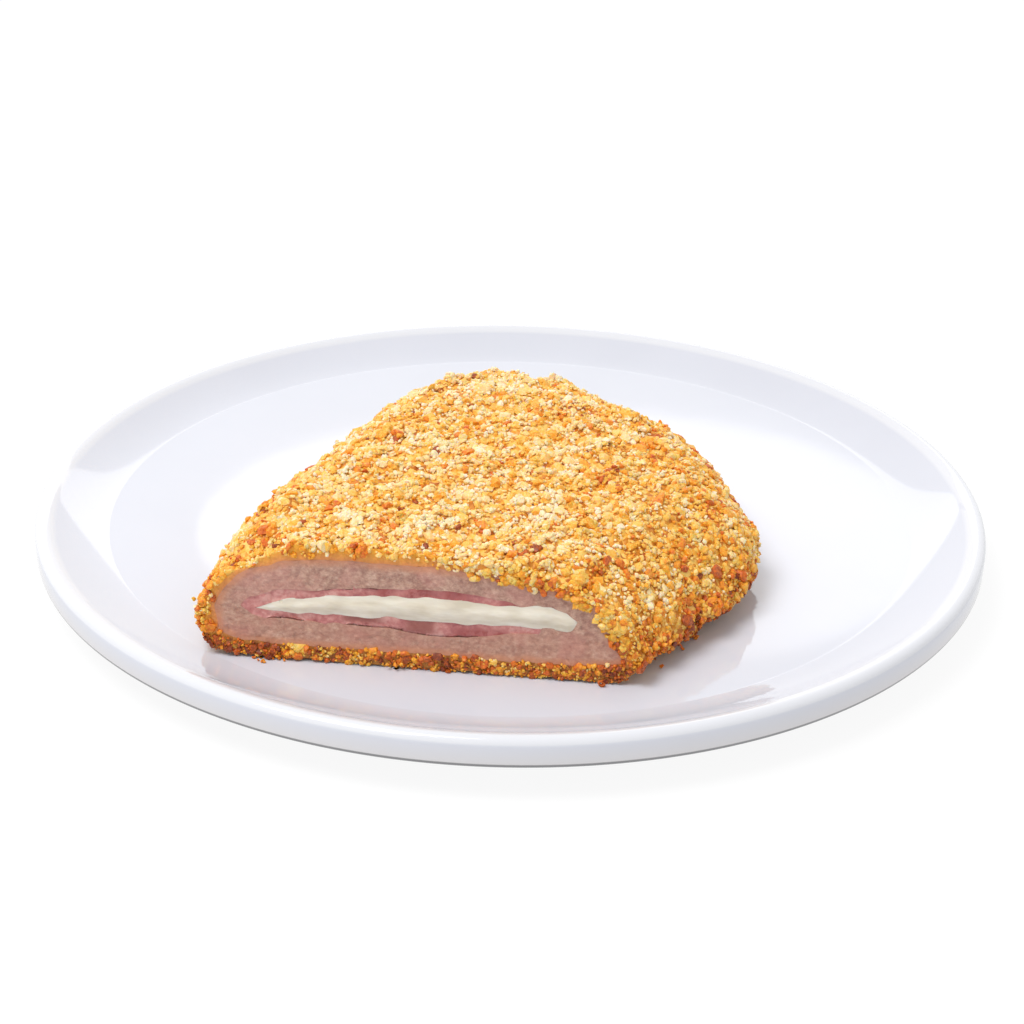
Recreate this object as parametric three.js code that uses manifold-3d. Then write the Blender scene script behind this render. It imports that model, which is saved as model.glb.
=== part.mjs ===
// A plate of turkey cordon bleu: a crumbed turkey escalope folded round a slice of ham and melted
// cheese, lying on a round white plate, with its front cut away by one straight knife cut.
// Millimetres, +Z up. The origin is on the plate's axis at the level of its foot, and the cut faces -Y.
import * as THREE from "three";
import { mergeVertices } from "three/addons/utils/BufferGeometryUtils.js";
import Module from "manifold-3d";

const wasm = await Module();
wasm.setup();

// ---------------------------------------------------------------- driving dimensions

const GAP = 0.3; // air kept between pieces that touch

const PLATE = {
  diameter: 210,
  height: 14,
  body: 5, // porcelain under the well
  wellDepth: 4.5, // from the lip's crest down to the flat well
  wellRadius: 90,
  lipWidth: 3.8, // from the outer wall in to the crease where the inner slope starts
  lipDrop: 0.7, // how far that crease lies below the crest
  lipRound: 1.8,
  wallHeight: 6.5, // outer wall with its rounded top
  wallRound: 1.2,
  footRadius: 61,
  footWidth: 4.5,
  footRound: 0.9,
  flareRadius: 92, // where the underside starts to rise to the wall
  sides: 72,
};
const WELL_TOP = PLATE.height - PLATE.wellDepth;

// The escalope before the knife, seen from above: points on its outline, anticlockwise.
const OUTLINE = [
  [51.5, -20], [45.5, 3], [30.5, 22], [12, 37.5], [-10, 40.5], [-28.5, 26], [-41, 3], [-50.5, -22],
  [-60, -48], [-60.5, -72], [-41, -92], [-9, -95], [17, -85], [38.4, -60.5], [51.8, -41],
];
const CENTRE = new THREE.Vector2(-6, -18);

const ESCALOPE = {
  thickness: 23.9, // at the edge of the flat top
  dome: 2, // the middle stands this much higher
  lean: -0.025, // slope of the top towards +X
  shoulder: 20.5, // width of the rounded top edge
  shoulderLeft: 2.5, // wider by this on the left, narrower on the right
  shoulderPower: 1.5, // superellipse power: 1 is a bevel, 2 a quarter round
  waist: 7.3, // height of the widest line
  waistLeft: 2.1,
  waistBack: 1,
  undercut: 7.4, // width of the rounded bottom edge
  undercutPower: 2.1,
};
// The right front edge curls up off the plate round this spot.
const CURL = { x: 50, y: -36, reach: 15, lift: 3.4 };

// Crumbs and batter over the meat, thicker on the left by the second number. The meat's own shoulders
// are fuller than the coat's.
const COAT = { side: 3, left: 1.5, top: 2.6, bottom: 3.9, meatPower: 2.2 };

// The coat's relief: every vertex is a crumb-sized crag, on slow swells of the whole surface.
const CRAG = { out: 0.9, in: 0.6, swell: 0.5, swellLength: 19 };
const FLAKES = { count: 52, smallest: 1.1, largest: 2, proud: 0.5 };

// The knife cut: a vertical plane through this point, turned about it.
const CUT = { x: -58.4, y: -66.9, turn: THREE.MathUtils.degToRad(-6.5) };

// The filling's section on the cut. The first number runs along the cut from its left end, the
// second is the height over the plate's well.
const CHEESE_SECTION = [
  [8.4, 11.1], [14, 13.2], [23.5, 14.7], [33, 15.6], [44, 16], [53, 15.8], [60, 15.3], [65, 16],
  [70, 15.2], [72.4, 13.3], [72.2, 11.7], [65, 11.5], [43, 11.2], [24, 11.1], [14, 10.7],
];
const HAM_SECTION = [
  [5.5, 11.5], [7.2, 13.6], [11.2, 15.1], [19, 16.1], [29.5, 17.1], [42.7, 18], [51, 17.8],
  [60.2, 16], [66.2, 11], [57, 9.2], [49.5, 8], [45, 7.7], [37, 8.5], [27, 8.9], [17, 9], [8, 9.4],
];
// How far the ham and the cheese reach behind the cut, on a section of so many points that is
// carried back step by step.
const FILLING = { ham: 84, cheese: 80, step: 22, steps: 4, points: 42 };

const DETAIL = { coat: 14, meat: 7 }; // how often an edge of the starting icosahedron is split

// ---------------------------------------------------------------- solids and meshes

function solid(geometry) {
  const bare = geometry.clone().deleteAttribute("normal").deleteAttribute("uv");
  const closed = mergeVertices(bare, 1e-4);
  return new wasm.Manifold(
    new wasm.Mesh({
      numProp: 3,
      vertProperties: new Float32Array(closed.attributes.position.array),
      triVerts: new Uint32Array(closed.index.array),
    }),
  );
}

function namedMesh(name, made, material) {
  const { vertProperties, triVerts } = made.getMesh();
  const geometry = new THREE.BufferGeometry()
    .setAttribute("position", new THREE.BufferAttribute(new Float32Array(vertProperties), 3))
    .setIndex(new THREE.BufferAttribute(new Uint32Array(triVerts), 1));
  geometry.computeVertexNormals();
  const mesh = new THREE.Mesh(geometry, material);
  mesh.name = name;
  return mesh;
}

// The largest body of a solid, without the scraps that a cut can leave.
function largestBody(made) {
  return made.decompose().reduce((a, b) => (b.volume() > a.volume() ? b : a));
}

// A repeatable row of random numbers between 0 and 1.
function randomRow(seed) {
  let state = seed;
  return () => {
    state = (state * 1664525 + 1013904223) % 4294967296;
    return state / 4294967296;
  };
}

// ---------------------------------------------------------------- the escalope's form

const outline = new THREE.CatmullRomCurve3(
  OUTLINE.map(([x, y]) => new THREE.Vector3(x, y, 0)),
  true,
  "catmullrom",
  0.5,
);
outline.arcLengthDivisions = 400;

// A closed pillow in the escalope's form. The form's margins shrink it: side in from the outline and
// left more on its left, top down from the top, bottom up from the well. Its power rounds the
// shoulders. A unit icosahedron is wrapped on it with even triangles.
function pillow(detail, form) {
  const ball = new THREE.IcosahedronGeometry(1, detail);
  const shape = mergeVertices(ball.deleteAttribute("normal").deleteAttribute("uv"), 1e-4);
  const position = shape.attributes.position;
  for (let i = 0; i < position.count; i++) {
    const direction = new THREE.Vector3().fromBufferAttribute(position, i);
    position.setXYZ(i, ...pillowPoint(direction, form));
  }
  return shape;
}

function pillowPoint(direction, form) {
  const turn = Math.atan2(direction.y, direction.x) / (2 * Math.PI);
  const edge = outline.getPointAt((turn + 1) % 1);
  const spoke = new THREE.Vector2(edge.x, edge.y).sub(CENTRE);
  const reach = spoke.length();
  spoke.normalize();
  const radius = reach - form.side - form.left * Math.max(0, -spoke.x);
  const rises = direction.z >= 0;
  const shoulder = ESCALOPE.shoulder - ESCALOPE.shoulderLeft * spoke.x;
  const width = rises ? shoulder : ESCALOPE.undercut;
  const power = 2 / (rises ? form.power : ESCALOPE.undercutPower);
  const waist = ESCALOPE.waist - ESCALOPE.waistLeft * spoke.x + ESCALOPE.waistBack * spoke.y;

  // Along the profile from the middle: a flat stretch, then the rounded edge down to the waist.
  const flat = radius - width;
  const bend = 1.2 * width;
  const along = Math.sqrt(1 - Math.min(1, Math.abs(direction.z))) * (flat + bend);
  const angle = (Math.PI / 2) * (1 - THREE.MathUtils.clamp((along - flat) / bend, 0, 1));
  const rise = Math.sin(angle) ** power;
  const out = along < flat ? along : radius - width * (1 - Math.cos(angle) ** power);
  const x = CENTRE.x + spoke.x * out;
  const y = CENTRE.y + spoke.y * out;

  const crown =
    ESCALOPE.thickness - form.top +
    ESCALOPE.dome * (1 - (out / radius) ** 2) +
    ESCALOPE.lean * (x - CENTRE.x);
  let z = waist + ((rises ? crown : form.bottom) - waist) * rise;
  const near = Math.exp(-((x - CURL.x) ** 2 + (y - CURL.y) ** 2) / CURL.reach ** 2);
  z += CURL.lift * near * Math.max(0, 1 - z / ESCALOPE.thickness);
  return [x, y, z];
}

// Moves each vertex out or in along its normal by a random crag and a slow swell, and keeps the
// underside off the plate.
function roughen(shape, seed) {
  const random = randomRow(seed);
  shape.computeVertexNormals();
  const { position, normal } = shape.attributes;
  const wave = (2 * Math.PI) / CRAG.swellLength;
  for (let i = 0; i < position.count; i++) {
    const at = new THREE.Vector3().fromBufferAttribute(position, i);
    const swell = Math.sin(at.x * wave + Math.sin(at.y * wave * 0.7)) * Math.sin(at.y * wave + 1.3);
    const crag = -CRAG.in + (CRAG.in + CRAG.out) * random();
    at.addScaledVector(new THREE.Vector3().fromBufferAttribute(normal, i), crag + CRAG.swell * swell);
    position.setXYZ(i, at.x, at.y, Math.max(at.z, GAP));
  }
  return shape;
}

// Coarse crumbs half sunk in the upper side of the coat, at random vertices of it.
function flakes(shape, seed) {
  const random = randomRow(seed);
  const { position, normal } = shape.attributes;
  const made = [];
  while (made.length < FLAKES.count) {
    const i = Math.floor(random() * position.count);
    const size = THREE.MathUtils.lerp(FLAKES.smallest, FLAKES.largest, random() ** 2);
    const turn = new THREE.Euler(random() * 6, random() * 6, random() * 6);
    const away = new THREE.Vector3().fromBufferAttribute(normal, i);
    if (away.z < 0) continue;
    const at = new THREE.Vector3().fromBufferAttribute(position, i);
    const place = new THREE.Matrix4().compose(
      at.addScaledVector(away, FLAKES.proud * size - size / 2),
      new THREE.Quaternion().setFromEuler(turn),
      new THREE.Vector3(size, size * 0.8, size * 0.6),
    );
    made.push(solid(new THREE.IcosahedronGeometry(1, 0).applyMatrix4(place)));
  }
  return wasm.Manifold.union(made);
}

// ---------------------------------------------------------------- the knife cut

// From the cut's own frame (along the cut, away from the knife, up) to the plate's.
const cutFrame = new THREE.Matrix4()
  .makeTranslation(CUT.x, CUT.y, 0)
  .multiply(new THREE.Matrix4().makeRotationZ(CUT.turn));

// A block far larger than the food, with one face on the plane at a distance behind the cut.
const BLOCK = 300;
function block(distance, side) {
  const away = distance + (side * BLOCK) / 2;
  return solid(new THREE.BoxGeometry(BLOCK, BLOCK, BLOCK).translate(0, away, 0).applyMatrix4(cutFrame));
}
const inFrontOf = (distance) => block(distance, -1);
const behind = (distance) => block(distance, 1);
const knifeSide = inFrontOf(0);

// ---------------------------------------------------------------- the filling

// Where the escalope starts and ends along the cut's direction, at a distance behind the cut.
const intoCut = cutFrame.clone().invert();
const sidePoints = outline.getSpacedPoints(360).map((p) => p.applyMatrix4(intoCut));
function sides(distance) {
  const near = sidePoints.filter((p) => Math.abs(p.y - Math.max(0, distance)) < 1);
  const along = near.map((p) => p.x);
  return [Math.min(...along), Math.max(...along)];
}

// A closed outline through the section's points, moved out by grow.
function sectionShape(points, grow) {
  const curve = new THREE.CatmullRomCurve3(points.map(([x, y]) => new THREE.Vector3(x, y, 0)), true);
  const ring = curve.getSpacedPoints(FILLING.points).slice(0, -1);
  const grown = ring.map((p, i) => {
    const before = ring[(i + ring.length - 1) % ring.length];
    const after = ring[(i + 1) % ring.length];
    const run = new THREE.Vector2(after.x - before.x, after.y - before.y).normalize();
    // The points run clockwise, so the outside is on the left of the run.
    return new THREE.Vector2(p.x - run.y * grow, p.y + run.x * grow);
  });
  return new THREE.Shape(grown);
}

// The section carried back into the escalope, widening and narrowing with it, as far as reach.
function filling(points, grow, reach) {
  const behindCut = FILLING.step * FILLING.steps;
  const shape = new THREE.ExtrudeGeometry(sectionShape(points, grow), {
    depth: behindCut + FILLING.step, // one step stands in front of the cut
    steps: FILLING.steps + 1,
    bevelEnabled: false,
  });
  shape.rotateX(Math.PI / 2).translate(0, behindCut, 0);
  const [left0, right0] = sides(0);
  const position = shape.attributes.position;
  for (let i = 0; i < position.count; i++) {
    const [left, right] = sides(position.getY(i));
    const share = (position.getX(i) - left0) / (right0 - left0);
    position.setX(i, left + share * (right - left));
  }
  return solid(shape.applyMatrix4(cutFrame)).subtract(behind(reach));
}

// ---------------------------------------------------------------- the food's pieces

// The meat's whole form, or the room that it needs in the coat.
function meat(grow) {
  const form = {
    side: COAT.side - grow,
    left: COAT.left,
    top: COAT.top - grow,
    bottom: COAT.bottom - grow,
    power: COAT.meatPower,
  };
  return solid(pillow(DETAIL.meat, form));
}

function breading() {
  const form = { side: 0, left: 0, top: 0, bottom: GAP, power: ESCALOPE.shoulderPower };
  const crust = roughen(pillow(DETAIL.coat, form), 11);
  crust.computeVertexNormals();
  const coated = solid(crust).add(flakes(crust, 23));
  return largestBody(coated.subtract(meat(GAP)).subtract(knifeSide));
}

function turkey() {
  const hamSpace = filling(HAM_SECTION, GAP, FILLING.ham + GAP);
  const cheeseSpace = filling(CHEESE_SECTION, GAP, FILLING.ham + GAP);
  return largestBody(meat(0).subtract(hamSpace.add(cheeseSpace)).subtract(knifeSide));
}

// One slice folded along the left: a sheet above the cheese and a sheet below it.
function ham() {
  const cheeseSpace = filling(CHEESE_SECTION, GAP, FILLING.ham + FILLING.step);
  return largestBody(filling(HAM_SECTION, 0, FILLING.ham).subtract(cheeseSpace).subtract(knifeSide));
}

function cheese() {
  return largestBody(filling(CHEESE_SECTION, 0, FILLING.cheese).subtract(knifeSide));
}

// ---------------------------------------------------------------- the plate

// Points of a quarter turn about a centre, from one angle to the next, in degrees.
function arc(x, y, radius, from, to, steps) {
  return Array.from({ length: steps + 1 }, (_, i) => {
    const a = THREE.MathUtils.degToRad(THREE.MathUtils.lerp(from, to, i / steps));
    return new THREE.Vector2(x + radius * Math.cos(a), y + radius * Math.sin(a));
  });
}

function plate() {
  const radius = PLATE.diameter / 2;
  const underside = WELL_TOP - PLATE.body;
  const wallBottom = PLATE.height - PLATE.wallHeight;
  const crease = new THREE.Vector2(radius - PLATE.lipWidth, PLATE.height - PLATE.lipDrop);
  const footInner = PLATE.footRadius - PLATE.footWidth;
  const slope = new THREE.QuadraticBezierCurve(
    crease,
    new THREE.Vector2(radius - 2.6 * PLATE.lipWidth, WELL_TOP + 0.1),
    new THREE.Vector2(PLATE.wellRadius, WELL_TOP),
  );
  const profile = [
    new THREE.Vector2(0, underside),
    new THREE.Vector2(footInner - PLATE.footRound, underside),
    ...arc(footInner + PLATE.footRound, PLATE.footRound, PLATE.footRound, 180, 270, 1),
    ...arc(PLATE.footRadius - PLATE.footRound, PLATE.footRound, PLATE.footRound, 270, 360, 1),
    new THREE.Vector2(PLATE.footRadius + PLATE.footRound, underside),
    new THREE.Vector2(PLATE.flareRadius, underside + 0.4),
    ...arc(radius - PLATE.wallRound, wallBottom + PLATE.wallRound, PLATE.wallRound, 290, 360, 2),
    ...arc(radius - PLATE.lipRound, PLATE.height - PLATE.lipRound, PLATE.lipRound, 0, 105, 4),
    ...slope.getPoints(4),
    new THREE.Vector2(0, WELL_TOP),
  ];
  return new THREE.LatheGeometry(profile, PLATE.sides).rotateX(Math.PI / 2);
}

// ---------------------------------------------------------------- the assembly

function finish(color, roughness) {
  return new THREE.MeshStandardMaterial({ color, roughness, metalness: 0 });
}

const onPlate = new THREE.Group();
onPlate.position.z = WELL_TOP;
onPlate.add(
  namedMesh("breading", breading(), finish(0xe0a048, 0.8)),
  namedMesh("turkey", turkey(), finish(0xb8978f, 0.6)),
  namedMesh("ham", ham(), finish(0xb8616a, 0.5)),
  namedMesh("cheese", cheese(), finish(0xece8d6, 0.4)),
);

const serving = new THREE.Group();
serving.add(namedMesh("plate", solid(plate()), finish(0xf2f2f5, 0.12)), onPlate);

export default serving;
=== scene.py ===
# %% [markdown]
# # A plate of turkey cordon bleu
# A crumbed escalope, folded round ham and melted cheese, lies on a white coupe plate with its front
# cut away. The solids of the frame give every piece its place and size. Here they are dressed: a
# smooth glazed plate, a craggy coat with thousands of single crumbs, and moist meat, ham and cheese.
# The frame comes first, because each new piece is made around it.

from math import cos, pi, radians, sin

import bmesh
import bpy
import numpy as np
from mathutils import Matrix, Vector, noise
from mathutils.bvhtree import BVHTree
from mathutils.kdtree import KDTree


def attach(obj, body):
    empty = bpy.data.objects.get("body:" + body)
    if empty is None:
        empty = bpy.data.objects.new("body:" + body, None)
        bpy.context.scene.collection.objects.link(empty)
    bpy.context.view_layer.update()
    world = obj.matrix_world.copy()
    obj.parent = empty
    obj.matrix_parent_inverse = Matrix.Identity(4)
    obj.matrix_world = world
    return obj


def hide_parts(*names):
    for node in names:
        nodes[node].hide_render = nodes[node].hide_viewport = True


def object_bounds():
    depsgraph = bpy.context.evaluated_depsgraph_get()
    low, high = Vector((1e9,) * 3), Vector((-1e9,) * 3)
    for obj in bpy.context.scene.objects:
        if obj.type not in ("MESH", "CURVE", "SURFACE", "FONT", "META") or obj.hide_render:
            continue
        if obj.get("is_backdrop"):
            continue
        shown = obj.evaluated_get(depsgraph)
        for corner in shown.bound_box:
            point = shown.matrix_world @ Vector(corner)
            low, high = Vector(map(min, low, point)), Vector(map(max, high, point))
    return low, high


MM = 0.001

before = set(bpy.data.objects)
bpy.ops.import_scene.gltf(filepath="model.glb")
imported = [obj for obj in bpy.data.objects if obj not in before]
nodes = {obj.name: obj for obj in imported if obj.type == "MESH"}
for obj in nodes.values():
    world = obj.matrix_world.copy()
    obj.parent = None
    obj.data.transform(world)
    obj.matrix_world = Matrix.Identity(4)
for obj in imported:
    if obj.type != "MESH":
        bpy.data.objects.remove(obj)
cad_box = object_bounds()
print("the frame's box in mm:", [[round(c / MM, 1) for c in corner] for corner in cad_box])

# %% [markdown]
# ## Camera
# A long lens from close by, a little over the table, is how such a plate is photographed. The camera
# looks at the plate's axis at the height of its rim. A camera turned about its own line of sight
# makes the plate lean to the right in the picture, as the photographer's did.

# %% Camera
LENS = 85
SENSOR = 36
LOOK_AT = Vector((0, 0, 14 * MM))
DISTANCE = 541.3 * MM
ELEVATION = radians(25.53)
LEAN = radians(1.13)
SHIFT = (0.0008, -0.0165)

camera = bpy.data.objects.new("camera", bpy.data.cameras.new("camera"))
bpy.context.scene.collection.objects.link(camera)
bpy.context.scene.camera = camera
camera.data.lens = LENS
camera.data.sensor_width = SENSOR
camera.data.shift_x, camera.data.shift_y = SHIFT
back = Vector((0, -cos(ELEVATION), sin(ELEVATION)))
camera.location = LOOK_AT + DISTANCE * back
camera.rotation_mode = "QUATERNION"
lean = Matrix.Rotation(LEAN, 3, "Z").to_quaternion()
camera.rotation_quaternion = (-back).to_track_quat("-Z", "Y") @ lean
print("the camera stands", round(camera.location.z / MM), "mm over the table")

# %% [markdown]
# ## Nodes
# A finish is a set of nodes, and so is the light of the world around. Its sums read best as plain
# expressions, so the class Line wraps one socket, and two lines can be added or multiplied like
# numbers. The class Nodes makes the nodes of one tree: a call gives a node's type, its settings and
# what its sockets take.


# %% Lines and nodes
class Line:
    """One output of a node, which sums can be written with."""

    def __init__(self, owner, socket):
        self.owner = owner
        self.socket = socket

    def sum(self, operation, first, second):
        return self.owner.node("ShaderNodeMath", {"operation": operation}, {0: first, 1: second})

    def __add__(self, other):
        return self.sum("ADD", self, other)

    def __sub__(self, other):
        return self.sum("SUBTRACT", self, other)

    def __rsub__(self, other):
        return self.sum("SUBTRACT", other, self)

    def __mul__(self, other):
        return self.sum("MULTIPLY", self, other)

    __radd__ = __add__
    __rmul__ = __mul__


class Nodes:
    """The nodes of one tree, made one by one."""

    def __init__(self, tree):
        self.tree = tree
        tree.nodes.clear()

    def node(self, kind, settings=None, inputs=None, output=0):
        """Adds a node: first its settings, then a value or a line for each named socket."""
        made = self.tree.nodes.new(kind)
        for name, value in (settings or {}).items():
            if name == "stops":
                self.fill_ramp(made.color_ramp, value)
            else:
                setattr(made, name, value)
        for name, value in (inputs or {}).items():
            if isinstance(value, Line):
                self.tree.links.new(value.socket, made.inputs[name])
            else:
                made.inputs[name].default_value = value
        return Line(self, made.outputs[output])

    @staticmethod
    def fill_ramp(ramp, stops):
        while len(ramp.elements) < len(stops):
            ramp.elements.new(1)
        for element, (position, colour) in zip(ramp.elements, stops):
            element.position = position
            element.color = colour

    def step(self, value, low, high, to_low=0, to_high=1):
        """A smooth step of a value, from one bound to the other."""
        sockets = {"Value": value, "From Min": low, "From Max": high, "To Min": to_low, "To Max": to_high}
        return self.node("ShaderNodeMapRange", {"interpolation_type": "SMOOTHSTEP"}, sockets)

    def end(self, kind, shader):
        """Ends the tree: its shader goes to its output."""
        self.tree.links.new(shader.socket, self.tree.nodes.new(kind).inputs["Surface"])


print("nodes are made by", Nodes.__name__, "and added up by", Line.__name__)

# %% [markdown]
# ## Light
# White dishes are lit from all sides, so the world is a white tent. Behind the plate its wall is
# brighter. At this low angle the glaze mirrors that wall, and so the open well looks brighter than the
# well in front of the food, where it mirrors the cut. An oval lamp before the wall whitens the well
# beside the food, and a large softbox above on the left shapes the crumbs. The picture is shown as
# measured light, without a film's curve, so whites stay white.

# %% World
TENT = 0.62
WALL = 1.25

world = bpy.data.worlds.new("tent")
bpy.context.scene.world = world
world.use_nodes = True
tent = Nodes(world.node_tree)
outwards = tent.node("ShaderNodeTexCoord", output="Generated")
behind = tent.node("ShaderNodeSeparateXYZ", None, {"Vector": outwards}, output="Y")
above = tent.node("ShaderNodeSeparateXYZ", None, {"Vector": outwards}, output="Z")
wall = tent.step(behind, 0.1, 0.8) * tent.step(above, 0.4, 0.9, 1, 0)
white = {"Color": (1, 1, 1, 1), "Strength": TENT + (WALL - TENT) * wall}
tent.end("ShaderNodeOutputWorld", tent.node("ShaderNodeBackground", None, white))
bpy.context.scene.view_settings.view_transform = "Standard"
print("the tent's wall is", WALL / TENT, "times as bright as its roof")


# %% Lamps
def softbox(name, place, aim, size, radiance, shape="RECTANGLE"):
    """An area lamp of a size in metres that is as bright as radiance says, where a white page is 1."""
    lamp = bpy.data.lights.new(name, "AREA")
    lamp.shape = shape
    lamp.size, lamp.size_y = size
    area = size[0] * size[1] * (pi / 4 if shape == "ELLIPSE" else 1)
    lamp.energy = radiance * pi * area
    made = bpy.data.objects.new(name, lamp)
    bpy.context.scene.collection.objects.link(made)
    made.location = place
    made.rotation_mode = "QUATERNION"
    made.rotation_quaternion = (Vector(aim) - Vector(place)).to_track_quat("-Z", "Y")
    made.visible_camera = False


KEY = (-0.45, -0.35, 1.1)
KEY_SIZE = (0.6, 0.6)
KEY_RADIANCE = 9
OVAL = (0.045, 1.2, 0.62)
OVAL_SIZE = (0.58, 0.23)
OVAL_RADIANCE = 1.2

softbox("key", KEY, (0, 0, 0), KEY_SIZE, KEY_RADIANCE)
softbox("oval", OVAL, (OVAL[0], 0, OVAL[2]), OVAL_SIZE, OVAL_RADIANCE, "ELLIPSE")
print("lamps:", [lamp.name for lamp in bpy.data.lights])

# %% [markdown]
# ## Finishes
# The class Finish is such a tree for a material, with the patterns that the finishes below share.
# Colours are written as they look on the screen and turned into the light that the shader wants.


# %% Finishes
class Finish(Nodes):
    """A material made node by node."""

    def __init__(self, name):
        self.material = bpy.data.materials.new(name)
        self.material.use_nodes = True
        super().__init__(self.material.node_tree)
        self.place = self.node("ShaderNodeTexCoord", output="Object")

    def noise(self, size, detail=3, roughness=0.55, at=None):
        """Cloudy noise whose blobs are about that size in metres."""
        sockets = {"Vector": at or self.place, "Scale": 1 / size, "Detail": detail, "Roughness": roughness}
        return self.node("ShaderNodeTexNoise", None, sockets)

    def cells(self, size, output="Distance", at=None):
        """Voronoi cells of about that size in metres."""
        sockets = {"Vector": at or self.place, "Scale": 1 / size}
        return self.node("ShaderNodeTexVoronoi", None, sockets, output)

    def ramp(self, value, *stops):
        """Colours along a value, each at its stop."""
        return self.node("ShaderNodeValToRGB", {"stops": stops}, {"Fac": value})

    def blend(self, share, first, second):
        """Blends two colours by a share."""
        settings = {"data_type": "RGBA", "blend_type": "MIX", "clamp_factor": True}
        return self.node("ShaderNodeMix", settings, {0: share, 6: first, 7: second}, output=2)

    def carried(self, name):
        """A number that the mesh carries at its corners."""
        return self.node("ShaderNodeAttribute", {"attribute_name": name}, output="Fac")

    def bump(self, height, distance, strength):
        """A slightly uneven surface: a distance in metres for each unit of height."""
        sockets = {"Height": height, "Distance": distance, "Strength": strength}
        return self.node("ShaderNodeBump", None, sockets, output="Normal")

    def surface(self, **sockets):
        """Ends the finish with its shader. A socket's name has underscores for spaces."""
        inputs = {name.replace("_", " "): value for name, value in sockets.items()}
        self.end("ShaderNodeOutputMaterial", self.node("ShaderNodeBsdfPrincipled", None, inputs))
        return self.material


def tone(red, green, blue):
    """A colour as the screen shows it, from 0 to 255, as the light that a shader takes."""
    linear = []
    for value in (red, green, blue):
        share = value / 255
        linear.append(share / 12.92 if share <= 0.04045 else ((share + 0.055) / 1.055) ** 2.4)
    return (*linear, 1)


print("a mid grey of 128 is", round(tone(128, 128, 128)[0], 3), "of the light")

# %% [markdown]
# ## Making a piece
# Every piece becomes an object at the origin with its place in its mesh. It rides on the frame's one
# body, gets its finish and stands for the solid that it replaces.


# %% From a bmesh to a piece
def piece(name, mesh, material, replaces=None, smooth=True):
    """A piece from a mesh or a bmesh, placed on the frame. With smooth None its faces stay as they are."""
    if isinstance(mesh, bmesh.types.BMesh):
        shaped, mesh = mesh, bpy.data.meshes.new(name)
        shaped.to_mesh(mesh)
        shaped.free()
    mesh.materials.append(material)
    if smooth is not None:
        mesh.polygons.foreach_set("use_smooth", [smooth] * len(mesh.polygons))
    made = bpy.data.objects.new(name, mesh)
    bpy.context.scene.collection.objects.link(made)
    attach(made, "root")
    if replaces:
        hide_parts(replaces)
    triangles = sum(len(face.vertices) - 2 for face in mesh.polygons)
    print(name, "has", triangles, "triangles")
    return made


# %% [markdown]
# ## The table
# A plain white sheet, far larger than the plate, that glows a little, so that it stays as white as the
# paper under a packshot. It is part of the stage, not of the object.

# %% Table
SHEET = 4.0

table = Finish("table_sheet")
table_paint = table.surface(
    Base_Color=tone(96, 96, 96),
    Roughness=0.9,
    Specular_IOR_Level=0.0,
    Emission_Color=(1, 1, 1, 1),
    Emission_Strength=0.9,
)
bm = bmesh.new()
bmesh.ops.create_grid(bm, x_segments=1, y_segments=1, size=SHEET)
sheet = bpy.data.meshes.new("table")
bm.to_mesh(sheet)
bm.free()
sheet.materials.append(table_paint)
table_object = bpy.data.objects.new("table", sheet)
bpy.context.scene.collection.objects.link(table_object)
table_object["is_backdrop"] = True
print("the table is", 2 * SHEET, "m wide")

# %% [markdown]
# ## The plate
# A coupe plate is turned on a wheel, so one section spun about the axis makes it. The section has the
# solid's sizes with rounder arcs: a foot ring, a low flaring underside, a short wall with a rolled
# lip, and a slope that runs down into a flat well. Spin joins its last step to its first, and the
# double points on the axis are merged afterwards, so the shell is closed. The glaze is a little bluer
# in the well than on the wall. A painted highlight makes the lip whiter and painted shade makes
# the underside grey, so the mesh carries where those are. Where the foot ring stands, the clay is bare.

# %% Plate section
RADIUS = 105 * MM
HEIGHT = 14 * MM
WELL_TOP = 9.5 * MM
BODY = 5 * MM
WELL_EDGE = 89 * MM
FOOT_RADIUS = 61 * MM
FOOT_WIDTH = 4.5 * MM
FOOT_ROUND = 0.9 * MM
FLARE_RADIUS = 92 * MM
FLARE_RISE = 0.4 * MM
WALL_ROUND = 1.2 * MM
WALL_HEIGHT = 6.5 * MM
LIP_ROUND = 1.8 * MM
LIP_WIDTH = 3.8 * MM
LIP_DROP = 0.7 * MM
LIP_TOP = 0.6 * MM
SHADE_RISE = 1.0 * MM
PLATE_STEPS = 240


def arc(x, z, radius, start, end, steps):
    """Points of a turn about a centre, from one angle in degrees to the next."""
    turns = [radians(start + (end - start) * i / steps) for i in range(steps + 1)]
    return [(x + radius * cos(turn), z + radius * sin(turn)) for turn in turns]


def bend(first, handle, last, steps):
    """Points of a quadratic curve, without its first."""
    shares = [i / steps for i in range(1, steps + 1)]
    weights = [((1 - t) ** 2, 2 * t * (1 - t), t**2) for t in shares]
    return [tuple(a * p + b * q + c * r for p, q, r in zip(first, handle, last)) for a, b, c in weights]


underside = WELL_TOP - BODY
foot_inner = FOOT_RADIUS - FOOT_WIDTH
wall_bottom = HEIGHT - WALL_HEIGHT
lip = arc(RADIUS - LIP_ROUND, HEIGHT - LIP_ROUND, LIP_ROUND, 0, 105, 10)
crease = (RADIUS - LIP_WIDTH, HEIGHT - LIP_DROP)
turn_start = (WELL_EDGE + 0.2 * MM, WELL_TOP + 0.01 * MM)
section = [(0, underside), (foot_inner - 2 * FOOT_ROUND, underside)]
section += arc(foot_inner - FOOT_ROUND, underside - FOOT_ROUND, FOOT_ROUND, 90, 0, 4)
section += arc(foot_inner + FOOT_ROUND, FOOT_ROUND, FOOT_ROUND, 180, 270, 4)
section += arc(FOOT_RADIUS - FOOT_ROUND, FOOT_ROUND, FOOT_ROUND, 270, 360, 4)
section += arc(FOOT_RADIUS + FOOT_ROUND, underside - FOOT_ROUND, FOOT_ROUND, 180, 90, 4)
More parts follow.
